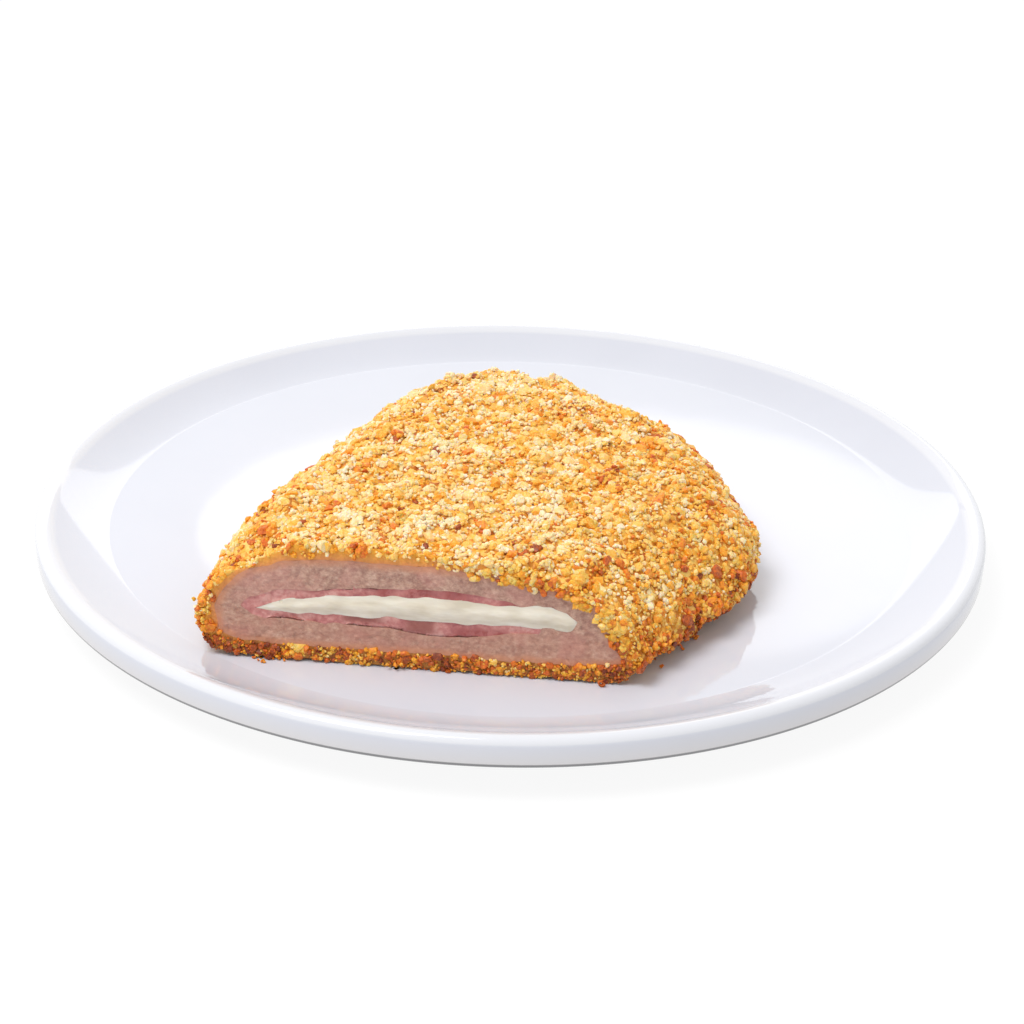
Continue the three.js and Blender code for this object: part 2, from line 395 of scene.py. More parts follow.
section += [(FLARE_RADIUS, underside + FLARE_RISE)]
section += arc(RADIUS - WALL_ROUND, wall_bottom + WALL_ROUND, WALL_ROUND, 290, 360, 6)
section += lip
section += bend(lip[-1], (crease[0] + 0.4 * MM, crease[1] + 0.35 * MM), crease, 3)
section += bend(crease, (RADIUS - 10 * MM, WELL_TOP + 0.65 * MM), turn_start, 14)
section += bend(turn_start, (WELL_EDGE + 0.1 * MM, WELL_TOP), (WELL_EDGE, WELL_TOP), 3)
section += [(share * WELL_EDGE, WELL_TOP) for share in (0.998, 0.96, 0.9, 0.7, 0.4)]
section += [(0, WELL_TOP)]
print("the plate's section has", len(section), "points")

# %% Spin the plate
bm = bmesh.new()
chain = [bm.verts.new((x, 0, z)) for x, z in section]
edges = [bm.edges.new(pair) for pair in zip(chain, chain[1:])]
bmesh.ops.spin(
    bm,
    geom=chain + edges,
    cent=(0, 0, 0),
    axis=(0, 0, 1),
    angle=2 * pi,
    steps=PLATE_STEPS,
    use_merge=True,
)
bmesh.ops.remove_doubles(bm, verts=bm.verts, dist=1e-6)
bmesh.ops.recalc_face_normals(bm, faces=bm.faces)
outside = bm.verts.layers.float.new("outside")
shaded = bm.verts.layers.float.new("shaded")
on_lip = bm.verts.layers.float.new("on_lip")
for vertex in bm.verts:
    below_lip = HEIGHT - LIP_ROUND - vertex.co.z
    on_wall = vertex.co.xy.length > RADIUS - WALL_ROUND
    vertex[outside] = min(1, max(0, below_lip / WALL_ROUND)) if on_wall else 0
    # painted shade: everything below a little over the wall's lower edge is marked to be greyed
    vertex[shaded] = 1 if vertex.co.z < wall_bottom + SHADE_RISE else 0
    # painted highlight: the top of the rolled lip is marked for a whiter glaze colour
    on_rim = vertex.co.xy.length > RADIUS - LIP_WIDTH
    vertex[on_lip] = 1 if below_lip < -LIP_TOP and on_rim else 0

glaze = Finish("white_glaze")
ripple = glaze.noise(14 * MM, detail=1)
height = glaze.node("ShaderNodeSeparateXYZ", None, {"Vector": glaze.place}, output="Z")
bare = 1 - glaze.step(height, 0.1 * MM, 0.5 * MM)
speckle = glaze.step(glaze.noise(0.7 * MM), 0.62, 0.75)
cloudy_glaze = glaze.step(glaze.noise(35 * MM), 0.3, 0.7)
well_white = glaze.blend(cloudy_glaze, tone(211, 213, 222), tone(213, 215, 224))
wall_white = glaze.blend(glaze.carried("outside"), well_white, tone(215, 213, 215))
# painted highlight on the lip: a whiter colour where the lip's top would catch the light
lip_highlight_white = glaze.blend(glaze.carried("on_lip"), wall_white, tone(224, 225, 230))
# painted shade under the plate: a grey colour where the mesh is marked shaded
body_white = glaze.blend(glaze.carried("shaded"), lip_highlight_white, tone(128, 128, 130))
bare_clay = glaze.blend(speckle, tone(205, 202, 196), tone(180, 176, 168))
glaze_white = glaze.surface(
    Base_Color=glaze.blend(bare, body_white, bare_clay),
    Roughness=0.05 + 0.5 * bare,
    IOR=1.5,
    Normal=glaze.bump(ripple, 0.02 * MM, 0.3),
)
piece("glazed_plate", bm, glaze_white, "plate")

# %% [markdown]
# ## The knife's plane
# The front of the food is one flat cut, and every layer ends in it. The plane is read off the frame:
# it is the coat's widest flat that faces the viewer. Places on the cut are then given as two sizes,
# the distance along the cut from the coat's left end and the height over the plate's well.


# %% Find the cut
def widest_flat(node):
    """The faces of the widest flat that faces -Y."""
    flats = {}
    for face in node.data.polygons:
        if face.normal.y < -0.9:
            flats.setdefault(tuple(round(c, 3) for c in face.normal), []).append(face)
    return max(flats.values(), key=lambda faces: sum(face.area for face in faces))


flat = widest_flat(nodes["breading"])
towards_viewer = sum((face.normal * face.area for face in flat), Vector()).normalized()
on_cut = flat[0].center.copy()
upright = Vector((0, 0, 1))
along_cut = upright.cross(towards_viewer)
ON_CUT = 0.02 * MM


def before_cut(place):
    """How far a place is in front of the cut."""
    return (place - on_cut).dot(towards_viewer)


coat_points = [vertex.co for vertex in nodes["breading"].data.vertices]
cut_start = min(place.dot(along_cut) for place in coat_points if abs(before_cut(place)) < ON_CUT)


def on_section(place):
    """A place as its distance along the cut and its height over the well."""
    return place.dot(along_cut) - cut_start, place.z - WELL_TOP


print("the cut faces", [round(c, 3) for c in towards_viewer])
print("along the cut its left end is at", round(cut_start / MM, 1), "mm")

# %% [markdown]
# ## Copies of the solids, ready for relief
# A solid of the frame has few and large triangles. A copy of it becomes the new piece: its loose
# triangles are merged, it grows a little to press into its neighbours, and its cut face is scored by
# rows of knife planes in both directions. The scored face has small even cells, so it can be shaped
# like clay. A knife never leaves ruled lines in meat. All layers are therefore shaken by the same
# slow noise, which makes their edges waver together and opens no gap between them.


# %% Copy, grow and score
def copy_of(node, grow=0.0):
    """A merged copy of a solid, grown sideways by a distance but with its cut face kept in its plane."""
    bm = bmesh.new()
    bm.from_mesh(nodes[node].data)
    bmesh.ops.remove_doubles(bm, verts=bm.verts, dist=2e-6)
    bm.normal_update()
    moves = [sideways(vertex) * grow for vertex in bm.verts]
    for vertex, move in zip(bm.verts, moves):
        vertex.co += move
    return bm


def sideways(vertex):
    """The way out of a solid at a vertex. On the cut it stays in the cut's plane."""
    way = vertex.normal.copy()
    if abs(before_cut(vertex.co)) < ON_CUT:
        way -= way.dot(towards_viewer) * towards_viewer
    return way.normalized() if way.length > 1e-6 else Vector()


def cut_faces(bm):
    """The faces that lie in the cut's plane."""
    return [face for face in bm.faces if all(abs(before_cut(v.co)) < ON_CUT for v in face.verts)]


def score(bm, spacing):
    """Slices the cut face into cells of that size, and keeps its outline sharp."""
    for direction in (along_cut, upright):
        faces = cut_faces(bm)
        sliced = [*faces, *{e for f in faces for e in f.edges}, *{v for f in faces for v in f.verts}]
        reach = [v.co.dot(direction) for face in faces for v in face.verts]
        for at in np.arange(min(reach) + spacing / 2, max(reach), spacing):
            plane = {"plane_co": direction * at, "plane_no": direction}
            sliced = bmesh.ops.bisect_plane(bm, geom=sliced, dist=1e-7, **plane)["geom"]
    bmesh.ops.triangulate(bm, faces=[face for face in bm.faces if len(face.verts) > 3])
    inside = set(cut_faces(bm))
    for edge in {edge for face in inside for edge in face.edges}:
        edge.smooth = all(face in inside for face in edge.link_faces)
    bm.normal_update()


def soften_outline(bm, rounds):
    """Rounds the outline of the cut face by moving each of its points to the middle of its neighbours."""
    for _ in range(rounds):
        neighbours = {}
        for edge in bm.edges:
            if not edge.smooth:
                for vertex in edge.verts:
                    neighbours.setdefault(vertex, []).append(edge.other_vert(vertex).co.copy())
        for vertex, others in neighbours.items():
            vertex.co = vertex.co.lerp(sum(others, Vector()) / len(others), 0.5)


def cut_points(bm):
    """The vertices of the cut face, each with its distance to the face's outline."""
    inside = set(cut_faces(bm))
    points = {v for face in inside for v in face.verts}
    rim = [v for v in points if any(face not in inside for face in v.link_faces)]
    near = KDTree(len(rim))
    for number, vertex in enumerate(rim):
        near.insert(vertex.co, number)
    near.balance()
    return [(vertex, near.find(vertex.co)[2]) for vertex in points]


# %% Noise and wavering
WAVER = 0.45 * MM
WAVER_SIZE = 3.5 * MM
WAVER_DEPTH = 4 * MM


def smooth_step(value, low, high):
    """0 up to one bound, 1 from the other on, and a soft rise between them."""
    share = min(1, max(0, (value - low) / (high - low)))
    return share * share * (3 - 2 * share)


def cloud(place, size, seed=0):
    """A number from about -1 to 1 that changes slowly, over about that size."""
    return noise.noise(place / size + Vector((seed * 7.3, seed * 3.1, seed * 5.7)))


def waver(bm):
    """Shakes a layer's edges near the cut, but not what lies on the plate."""
    for vertex in bm.verts:
        share = 1 - smooth_step(-before_cut(vertex.co), 0, WAVER_DEPTH)
        if share > 0:
            height = on_section(vertex.co)[1]
            rise = WAVER * cloud(vertex.co, WAVER_SIZE, 21) * smooth_step(height, 0.2 * MM, 1.5 * MM)
            side = WAVER * cloud(vertex.co, WAVER_SIZE, 22)
            vertex.co += share * (rise * upright + side * along_cut)


def tree_of(node):
    """A node's surface, ready to measure distances from."""
    mesh = nodes[node].data
    return BVHTree.FromPolygons([v.co for v in mesh.vertices], [f.vertices for f in mesh.polygons])


turkey_surface = tree_of("turkey")
coat_surface = tree_of("breading")
print("layers waver by", round(WAVER / MM / 2, 2), "mm")

# %% [markdown]
# ## Turkey
# Cooked turkey is a fine pale meat with short fibres. Its cut face gets shallow real relief: slow
# swells, and small pits that the knife tore. The meat grows a little more than the other layers and
# stands over the coat's inner edge, so no gap is left where they meet. The finish mottles grey pink
# with paler and pinker spots of about half a millimetre, and a thin film of juice gives it a soft
# gloss. Above the ham the meat is greyer, and below it warmer. The outermost meat has taken the colour
# of the coat, so the mesh carries how near the coat is.

# %% Turkey piece
MEAT_CELL = 0.62 * MM
GROW = 0.2 * MM
MEAT_GROW = 0.34 * MM
OVER_COAT = 0.03 * MM
SWELL = 0.22 * MM
FINE_SWELL = 0.16 * MM
PIT = 0.3 * MM
MEAT_EDGE = 1.4 * MM
MIDDLE = 12.5 * MM

bm = copy_of("turkey", MEAT_GROW)
score(bm, MEAT_CELL)
near_coat = bm.verts.layers.float.new("near_coat")
for vertex, inset in cut_points(bm):
    vertex[near_coat] = 1 - smooth_step(coat_surface.find_nearest(vertex.co)[3], 0.3 * MM, 1.9 * MM)
    swell = SWELL * cloud(vertex.co, 5 * MM, 1) + FINE_SWELL * cloud(vertex.co, 1.3 * MM, 2)
    pit = PIT * smooth_step(cloud(vertex.co, 1.1 * MM, 3), 0.2, 0.6)
    vertex.co += towards_viewer * ((swell - pit) * smooth_step(inset, 0, MEAT_EDGE) + OVER_COAT)
waver(bm)

meat = Finish("turkey_meat")
meat_height = meat.node("ShaderNodeSeparateXYZ", None, {"Vector": meat.place}, output="Z")
fibres = meat.node("ShaderNodeMapping", None, {"Vector": meat.place, "Scale": (0.85, 0.85, 1.1)})
patches = meat.noise(3.2 * MM, detail=3)
mottle = meat.noise(0.85 * MM, detail=4, roughness=0.72, at=fibres)
specks = meat.cells(1.0 * MM, at=fibres)
meat_tone = meat.ramp(
    mottle * 1.1 + patches * 0.5 - 0.32 - 0.1 * specks,
    (0.22, tone(158, 113, 98)),
    (0.45, tone(189, 149, 130)),
    (0.62, tone(209, 173, 152)),
    (0.8, tone(232, 204, 181)),
)
pink_spots = meat.step(meat.noise(6 * MM, detail=1), 0.45, 0.65, 0, 0.35)
pinker = meat.blend(pink_spots, meat_tone, tone(203, 138, 128))
below_ham = meat.step(meat_height, WELL_TOP + MIDDLE + 2 * MM, WELL_TOP + MIDDLE - 5 * MM, 0, 0.28)
warmer = meat.blend(below_ham, pinker, tone(198, 134, 108))
coat_share = meat.carried("near_coat") * meat.step(patches, 0.25, 0.6, 0.35, 0.75)
meat_paint = meat.surface(
    Base_Color=meat.blend(coat_share, warmer, tone(208, 138, 98)),
    Roughness=meat.step(mottle, 0.3, 0.7, 0.36, 0.55),
    Subsurface_Weight=0.2,
    Subsurface_Radius=(1.0, 0.45, 0.3),
    Subsurface_Scale=0.9 * MM,
    Normal=meat.bump(mottle + 0.3 * specks, 0.25 * MM, 0.6),
)
piece("turkey_meat", bm, meat_paint, "turkey")

# %% [markdown]
# ## Ham
# The ham is one thin slice folded round the cheese. It shrinks and wrinkles in the heat, so its cut
# edge waves more than the meat's. In places it has come away from the meat, which leaves a thin dark
# tear. So there the slice's outer edge is pulled in. Its pink is uneven: darker red stretches where the
# slice was pressed, and a brown one by the cheese. The mesh carries them, because they follow the
# slice and not space.

# %% Ham piece
HAM_CELL = 0.45 * MM
WRINKLE = 0.34 * MM
SHRUNK = 0.1 * MM
TEAR = 0.36 * MM
TEAR_REACH = 1.6 * MM
TEARS = (
    (4, 13, 2.2), (6.5, 9, 2.5), (16.5, 18.2, 3), (24, 18.6, 3.5), (33, 18.4, 3.5), (18, 10, 3.5),
    (43, 7.6, 13),
)
PRESSED = (
    (20, 17.6, 4.5), (38, 17.2, 1.6), (44.5, 17.0, 3), (51.5, 16.6, 2.4), (64, 15.6, 3), (57, 8.2, 5),
)
BROWNED = ((33, 11.6, 4), (45, 10.2, 3))


def near_stretch(place, stretches, fade=1.5):
    """How much a place on the cut belongs to one of some stretches.

    Each is given in mm: the middle along the cut, the height over the well, and how far it reaches.
    """
    along, height = (size / MM for size in on_section(place))
    shares = []
    for middle, level, reach in stretches:
        sideways_share = 1 - smooth_step(abs(along - middle), reach - fade, reach + fade)
        shares.append(sideways_share * (1 - smooth_step(abs(height - level), 1.2, 2.6)))
    return max(shares)


def on_the_meat(place):
    """1 where the ham lies against the turkey, 0 where it lies against the cheese."""
    return smooth_step(turkey_surface.find_nearest(place)[3], 0.3 * MM, 0.1 * MM)


bm = copy_of("ham", GROW)
score(bm, HAM_CELL)
red = bm.verts.layers.float.new("red")
brown = bm.verts.layers.float.new("brown")
points = cut_points(bm)
pulls = []
for vertex, inset in points:
    vertex[red] = near_stretch(vertex.co, PRESSED)
    vertex[brown] = near_stretch(vertex.co, BROWNED)
    on_meat = on_the_meat(vertex.co) if inset < TEAR_REACH else 0
    ragged = 0.75 + 0.6 * cloud(vertex.co, 1.2 * MM, 23)
    inwards = -(GROW + MEAT_GROW + TEAR * ragged) * on_meat * near_stretch(vertex.co, TEARS)
    pulls.append(sideways(vertex) * inwards)
for (vertex, inset), pull in zip(points, pulls):
    wrinkle = WRINKLE * cloud(vertex.co, 2.4 * MM, 4) - SHRUNK
    vertex.co += pull + towards_viewer * wrinkle * smooth_step(inset, -0.3 * MM, 0.6 * MM)
waver(bm)

cured = Finish("cooked_ham")
stretches = cured.noise(6 * MM, detail=2)
streaks = cured.noise(1.1 * MM, detail=3)
rosy = cured.ramp(
    stretches * 0.8 + streaks * 0.8 - 0.3,
    (0.3, tone(170, 96, 94)),
    (0.5, tone(196, 126, 120)),
    (0.7, tone(216, 160, 150)),
)
pressed_share = cured.carried("red") * cured.step(streaks, 0.35, 0.6, 0.25, 1)
redder = cured.blend(pressed_share, rosy, tone(160, 78, 74))
ham_tone = cured.blend(cured.carried("brown") * 0.8, redder, tone(150, 88, 76))
ham_paint = cured.surface(
    Base_Color=ham_tone,
    Roughness=0.38,
    Subsurface_Weight=0.15,
    Subsurface_Radius=(1.0, 0.35, 0.3),
    Subsurface_Scale=0.8 * MM,
    Normal=cured.bump(streaks, 0.25 * MM, 0.6),
)
piece("cooked_ham", bm, ham_paint, "ham")

# %% [markdown]
# ## Cheese
# Melted cheese swells out of a cut and sets smooth, so its outline is rounded first. The scored face
# is then domed by its distance to the outline, which lets it stand a little proud of the meat.

# %% Cheese piece
CHEESE_CELL = 0.5 * MM
ROUNDS = 6
PROUD = 0.5 * MM
SWEAT = 0.2 * MM

bm = copy_of("cheese", GROW)
score(bm, CHEESE_CELL)
soften_outline(bm, ROUNDS)
for vertex, inset in cut_points(bm):
    dome = PROUD * smooth_step(inset, -0.2 * MM, 2.2 * MM)
    vertex.co += towards_viewer * (dome + SWEAT * cloud(vertex.co, 4 * MM, 5))
waver(bm)

melt = Finish("melted_cheese")
streaky = melt.node("ShaderNodeMapping", None, {"Vector": melt.place, "Scale": (0.25, 0.25, 1)})
veins = melt.noise(1.6 * MM, detail=3, at=streaky)
cheese_paint = melt.surface(
    Base_Color=melt.ramp(
        veins,
        (0.3, tone(214, 203, 181)),
        (0.5, tone(228, 219, 200)),
        (0.7, tone(240, 233, 217)),
    ),
    Roughness=0.34,
    Subsurface_Weight=0.3,
    Subsurface_Radius=(1.0, 0.8, 0.5),
    Subsurface_Scale=1.5 * MM,
    Normal=melt.bump(veins, 0.15 * MM, 0.4),
)
piece("melted_cheese", bm, cheese_paint, "cheese")

# %% [markdown]
# ## The coat under the crumbs
# The coat is batter and crumbs baked into one crust. The solid carries its large crags, and the copy
# adds what is finer. The outer triangles are split, smoothed so that no facet shows, and moved in by
# half a crumb, because the single crumbs will stand out again by that much, but never so far that the
# meat shows through. Lumps and noise of a few sizes break the surface up, and its faces stay flat, so
# that it looks like crumbs wherever it shows between them. On the cut the batter is a smooth band
# between the meat and the crumbs. Below the meat it is a fried brown, made darker as painted shade
# for the gaps between the crumbs there.

# %% Coat base
SPLIT = 3
SMOOTHINGS = 5
CRUMB_ROOM = 0.6 * MM
THINNEST = 0.5 * MM
COAT_CELL = 0.6 * MM
LINING = 0.6 * MM
LINING_FACE, CRUST_FACE, CUT_FACE = range(3)
SWELLS = 1.0 * MM
GRAIN = 0.4 * MM
LUMPS = 0.6 * MM
SMALL_LUMPS = 0.3 * MM
BAND_GRAIN = 0.3 * MM
BAND_SWELLS = 0.25 * MM


def from_meat(place):
    """The distance from the turkey's surface."""
    return turkey_surface.find_nearest(place)[3]


def lump(place, size):
    """Rounded lumps of about that size: 1 in the middle of one, 0 or less in the crease between two."""
    return 1 - 2 * noise.voronoi(place / size)[0][0]


bm = copy_of("breading")
kind = bm.faces.layers.int.new("kind")
for face in bm.faces:
    face[kind] = CRUST_FACE if from_meat(face.calc_center_median()) > LINING else LINING_FACE
for face in cut_faces(bm):
    face[kind] = CUT_FACE
for face in bm.faces:
    face.smooth = face[kind] != CRUST_FACE
crust_edges = list({edge for face in bm.faces if face[kind] == CRUST_FACE for edge in face.edges})
bmesh.ops.subdivide_edges(bm, edges=crust_edges, cuts=SPLIT, use_grid_fill=True)
score(bm, COAT_CELL)

free = [v for v in bm.verts if all(face[kind] == CRUST_FACE for face in v.link_faces)]
for _ in range(SMOOTHINGS):
    bmesh.ops.smooth_vert(bm, verts=free, factor=0.5, use_axis_x=True, use_axis_y=True, use_axis_z=True)
bm.normal_update()
low = min(v.co.z for v in bm.verts)
for vertex in free:
    rough = GRAIN * cloud(vertex.co, 1.5 * MM, 6) + SWELLS * cloud(vertex.co, 4.2 * MM, 7)
    rough += LUMPS * lump(vertex.co, 2.8 * MM) + SMALL_LUMPS * lump(vertex.co, 1.3 * MM)
    vertex.co += vertex.normal * max(rough - CRUMB_ROOM, THINNEST + MEAT_GROW - from_meat(vertex.co))
    vertex.co.z = max(vertex.co.z, low)

band = bm.verts.layers.float.new("band")
depth = bm.verts.layers.float.new("depth")
for vertex, inset in cut_points(bm):
    vertex[depth] = from_meat(vertex.co) / MM
    vertex[band] = 1
    rough = BAND_GRAIN * cloud(vertex.co, 1.6 * MM, 8) + BAND_SWELLS * cloud(vertex.co, 4 * MM, 11)
    vertex.co += towards_viewer * rough * smooth_step(inset, 0.25 * MM, 1.4 * MM)
waver(bm)

PEBBLE = 0.95 * MM

batter = Finish("baked_batter")
deep = batter.carried("depth")
cloudy = batter.noise(2.5 * MM, detail=3)
pebbles = batter.cells(PEBBLE)
pebble_colour = {"Color": batter.cells(PEBBLE, "Color")}
pebble_tint = batter.node("ShaderNodeSeparateColor", None, pebble_colour, output="Red")
batter_height = batter.node("ShaderNodeSeparateXYZ", None, {"Vector": batter.place}, output="Z")
under_meat = batter.step(batter_height, WELL_TOP + 6 * MM, WELL_TOP + 3 * MM)
coat_tone = batter.ramp(
    pebble_tint * 0.6 + cloudy * 0.4,
    (0.2, tone(186, 100, 20)),
    (0.36, tone(216, 138, 32)),
    (0.5, tone(238, 172, 56)),
    (0.66, tone(246, 202, 104)),
)
band_tone = batter.ramp(
    deep * 0.3 + cloudy * 0.25 - 0.12,
    (0.0, tone(216, 134, 88)),
    (0.3, tone(228, 152, 70)),
    (0.8, tone(236, 166, 40)),
)
# partly fried colour, partly painted shade: this dark brown shows as the shaded gaps between the low
# crumbs
fried_and_gap_shade = batter.ramp(
    cloudy * 0.6 + pebble_tint * 0.4,
    (0.25, tone(138, 74, 18)),
    (0.6, tone(192, 126, 46)),
)
band_paint = batter.blend(under_meat, band_tone, fried_and_gap_shade)
coat_paint = batter.surface(
    Base_Color=batter.blend(batter.carried("band"), coat_tone, band_paint),
    Roughness=0.5,
    Subsurface_Weight=0.2,
    Subsurface_Radius=(1.0, 0.5, 0.2),
    Subsurface_Scale=0.9 * MM,
    Normal=batter.bump(1 - pebbles, 0.35 * MM, 0.7),
)
coat = piece("batter_coat", bm, coat_paint, "breading", smooth=None)

# %% [markdown]
# ## Where crumbs can lie
# The crumbs are real meshes, thousands of them, so they are made with arrays of numbers instead of
# one by one. The coat's triangles tell where a crumb can lie. A place is drawn in a triangle by its
# area and by how many crumbs are wanted there: all over the crust, on the lower and the outer edge of
# the cut and round its two ends, but not on the smooth band of batter over the meat.

# %% The coat as arrays
SEED = 58

rng = np.random.default_rng(SEED)


def read(collection, name, width, kind=np.float64):
    """A property of all items of a mesh as an array."""
    values = np.empty(len(collection) * width, kind)
    collection.foreach_get(name, values)
    return values.reshape(-1, width) if width > 1 else values


coat.data.calc_loop_triangles()
points = read(coat.data.vertices, "co", 3)
point_normals = read(coat.data.vertices, "normal", 3)
corners = read(coat.data.loop_triangles, "vertices", 3, np.int32)
polygons = read(coat.data.loop_triangles, "polygon_index", 1, np.int32)
kinds = read(coat.data.attributes["kind"].data, "value", 1, np.int32)[polygons]
areas = read(coat.data.loop_triangles, "area", 1)
middles = points[corners].mean(1)
facing_up = read(coat.data.loop_triangles, "normal", 3)[:, 2]
depths = read(coat.data.attributes["depth"].data, "value", 1, np.float32)[corners].mean(1)


def steps(values, low, high):
    """smooth_step for an array."""
    share = np.clip((values - low) / (high - low), 0, 1)
    return share * share * (3 - 2 * share)


def clouds(places, size, seed):
    """cloud for an array."""
    return np.array([cloud(Vector(place), size, seed) for place in places])


run = middles @ np.array(along_cut) - cut_start
rise = middles[:, 2] - WELL_TOP
clumps = 0.75 + 0.7 * clouds(middles, 5 * MM, 9)
on_crust = np.where(facing_up > -0.55, 1.0, 0.1) * np.clip(clumps, 0.25, 1.5)
right_end = steps(run, 42 * MM, 54 * MM)
left_end = 1 - steps(run, 1 * MM, 4 * MM)
low_edge = 1 - steps(rise, 3.2 * MM, 4.2 * MM)
outer_edge = steps(depths, 1.5, 2.4)
on_band = np.clip(1.6 * low_edge + 1.2 * right_end + 0.9 * left_end + 0.8 * outer_edge, 0, 1.7)
wanted = areas * np.select([kinds == CRUST_FACE, kinds == CUT_FACE], [on_crust, on_band], 0)
print("crust to cover in square mm:", round(areas[kinds == CRUST_FACE].sum() / MM**2))


def spread(count, weights=wanted):
    """Random places on the coat, with the way out of it at each."""
    chosen = rng.choice(len(weights), count, p=weights / weights.sum())
    share = np.sort(rng.random((count, 2)), axis=1)
    shares = np.stack([share[:, 0], share[:, 1] - share[:, 0], 1 - share[:, 1]], 1)[:, :, None]
    ways = (point_normals[corners[chosen]] * shares).sum(1)
    return (points[corners[chosen]] * shares).sum(1), ways / np.linalg.norm(ways, axis=1)[:, None]


def toasting(places):
    """How brown the oven made the crust at some places, from 0 to 1."""
    height = places[:, 2] - WELL_TOP
    right = steps(places[:, 0], 5 * MM, 42 * MM)
    left = 1 - steps(places[:, 0], -54 * MM, -38 * MM)
    low = 1 - steps(height, 1 * MM, 13 * MM)
    under = 1 - steps(height, 2.5 * MM, 5 * MM)
    behind = -(places - np.array(on_cut)) @ np.array(towards_viewer)
    front = 1 - steps(behind, 1 * MM, 9 * MM)
    spots = 0.2 * clouds(places, 8 * MM, 10) + 0.34 * clouds(places, 3 * MM, 12)
    browned = 0.15 * right + 0.18 * left + 0.1 * front + (0.14 + 0.4 * right) * low + 0.14 * under
    return 0.26 + browned + spots


# %% [markdown]
# ## Crumbs
# A breadcrumb is a broken lump: uneven, with a few flat chips. Each starts as an icosphere, is
# stretched, shaken and chipped, and eight such shapes are enough, because every crumb is also turned
# at random. Fine and small crumbs have twenty faces, larger ones eighty. Every crumb carries how
# toasted it is, so that one finish colours them all.


# %% Crumb shapes
SHAPES = 8
OVER_WELL = 0.05 * MM


def broken_lumps(level, chips):
    """A few crumb shapes of unit size on one icosphere, and its faces."""
    bm = bmesh.new()
    bmesh.ops.create_icosphere(bm, subdivisions=level, radius=0.5)
    ball = np.array([v.co for v in bm.verts])
    faces = np.array([[v.index for v in f.verts] for f in bm.faces])
    bm.free()
    lumps = []
    for _ in range(SHAPES):
        shaken = ball * rng.uniform(0.68, 1.3, 3) * rng.uniform(0.76, 1.2, (len(ball), 1))
        for _ in range(chips):
            way = rng.normal(size=3)
            way /= np.linalg.norm(way)
            shaken -= np.maximum(0, shaken @ way - rng.uniform(0.24, 0.42))[:, None] * way
        lumps.append(shaken)
    return np.array(lumps), faces


def random_turns(count):
    """Random rotation matrices."""
    w, x, y, z = rng.normal(size=(4, count))
    norm = np.sqrt(w * w + x * x + y * y + z * z)
    w, x, y, z = w / norm, x / norm, y / norm, z / norm
    rows = [
        [1 - 2 * (y * y + z * z), 2 * (x * y - z * w), 2 * (x * z + y * w)],
        [2 * (x * y + z * w), 1 - 2 * (x * x + z * z), 2 * (y * z - x * w)],
        [2 * (x * z - y * w), 2 * (y * z + x * w), 1 - 2 * (x * x + y * y)],
    ]
    return np.moveaxis(np.array(rows), 2, 0)


# %% One piece of each kind
def crumbs(name, places, ways, sizes, toast, flat=0.8, sunk=0.3, level=1, chips=4):
    """One piece of many crumbs, flattened onto the coat and sunk in it by a share of their size."""
    lumps, faces = broken_lumps(level, chips)
    count = len(places)
    shapes = lumps[rng.integers(SHAPES, size=count)] * sizes[:, None, None]
    shapes = np.einsum("nij,nvj->nvi", random_turns(count), shapes)
    outwards = np.einsum("nvj,nj->nv", shapes, ways)
    shapes -= (1 - flat) * outwards[:, :, None] * ways[:, None, :]
    centres = places + ways * (sizes * (0.5 * flat - sunk))[:, None]
    vertices = (shapes + centres[:, None, :]).reshape(-1, 3)
    vertices[:, 2] = np.maximum(vertices[:, 2], WELL_TOP + OVER_WELL)
    size = lumps.shape[1]
    all_faces = (faces[None] + (np.arange(count) * size)[:, None, None]).reshape(-1, 3)
    mesh = bpy.data.meshes.new(name)
    mesh.from_pydata(vertices, [], all_faces)
    browned = mesh.attributes.new("toast", "FLOAT", "POINT")
    browned.data.foreach_set("value", np.repeat(np.clip(toast, 0, 1), size).astype(np.float32))
    piece(name, mesh, crumb_paint, smooth=False)


crumb = Finish("toasted_crumb")
toast_line = crumb.carried("toast")
crumb_grain = crumb.noise(0.5 * MM, detail=2)
crumb_paint = crumb.surface(
    Base_Color=crumb.ramp(
        toast_line + crumb_grain * 0.5 - 0.25,
        (0.0, tone(251, 230, 196)),
        (0.2, tone(249, 215, 154)),
        (0.4, tone(247, 195, 90)),
        (0.56, tone(242, 164, 34)),
        (0.76, tone(216, 106, 24)),
        (1.0, tone(124, 50, 18)),
    ),
    Roughness=0.5,
    Subsurface_Weight=0.4,
    Subsurface_Radius=(1.0, 0.5, 0.12),
    Subsurface_Scale=0.8 * MM,
    Normal=crumb.bump(crumb_grain, 0.12 * MM, 0.6),
)


# %% Scatter the crumbs
def sizes_of(places, smallest, largest):
    """Sizes between two bounds: more small ones than large ones, and all smaller down by the plate."""
    sizes = smallest + (largest - smallest) * rng.random(len(places)) ** 1.6
    by_plate = 1 - steps(places[:, 2] - WELL_TOP, 3 * MM, 6 * MM)
    return sizes * (1 - 0.3 * by_plate)


def scatter(name, count, smallest, largest, spot_toast, spread_toast, **shape):
    """Crumbs of one kind all over the coat, browned by where they lie and by chance."""
    places, ways = spread(count)
    toast = toasting(places) + spot_toast + rng.normal(0, spread_toast, count)
    crumbs(name, places, ways, sizes_of(places, smallest, largest), toast, **shape)


